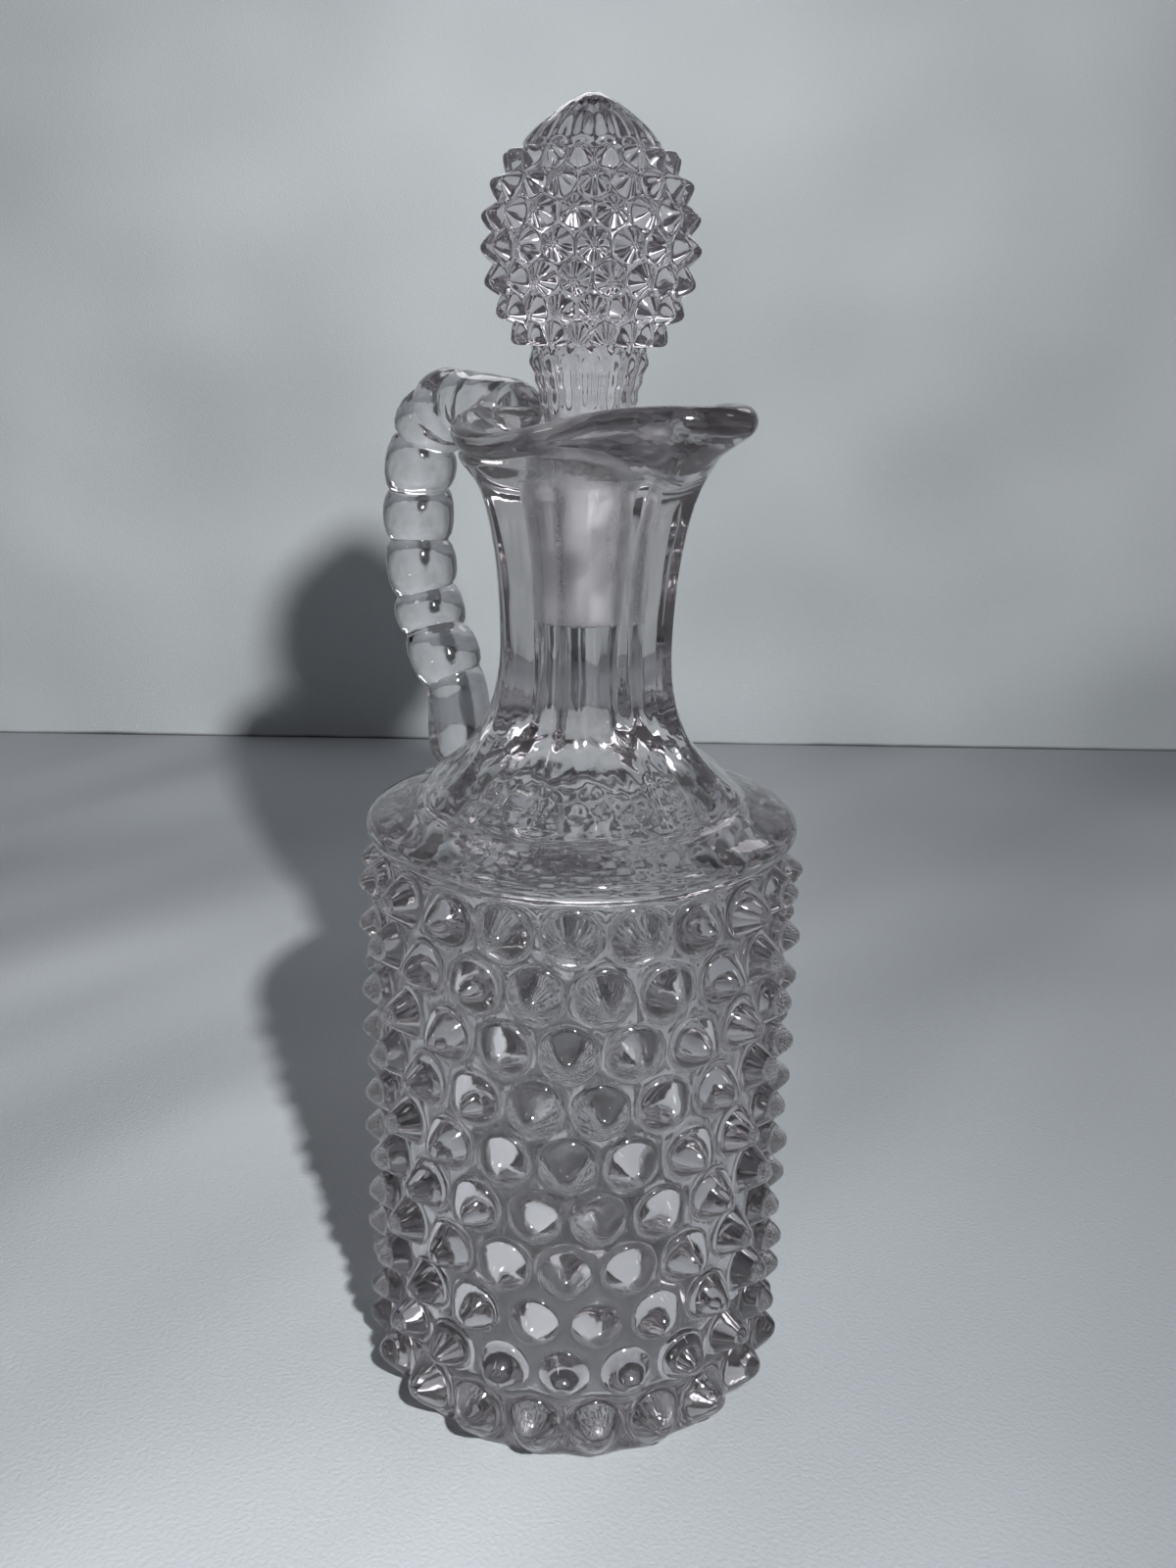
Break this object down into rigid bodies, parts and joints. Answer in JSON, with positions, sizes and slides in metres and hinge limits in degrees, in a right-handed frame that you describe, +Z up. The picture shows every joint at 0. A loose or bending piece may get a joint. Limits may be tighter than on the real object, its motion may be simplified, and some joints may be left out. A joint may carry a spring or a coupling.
{
  "type": "cruet",
  "caption": "Pressed glass cruet with a hobnailed cylinder body, panelled neck, pouring lip, ringed side handle and lift-out hobnailed stopper.",
  "frame": {"origin": "centre of the flat underside, on the bottle's axis", "axes": "+Z up along the bottle's axis, +X towards the pouring lip, handle on the -X side, the XZ plane is the mirror plane"},
  "size_m": [0.07, 0.0648, 0.1849],
  "materials": {
    "bottle": "fire-polished pressed glass, clear with a faint grey and amethyst tint",
    "handle": "fire-polished applied glass, clear with a faint grey tint",
    "stopper": "fire-polished pressed glass, with a ground matt peg"
  },
  "bodies": {
    "bottle": {"bottle": "bottle", "handle": "handle"},
    "stopper": {"stopper": "stopper"}
  },
  "joints": [
    {"name": "stopper_lift", "type": "slide", "parent": "bottle", "child": "stopper", "axis": [0, 0, 1], "range_m": [0, 0.04]}
  ]
}
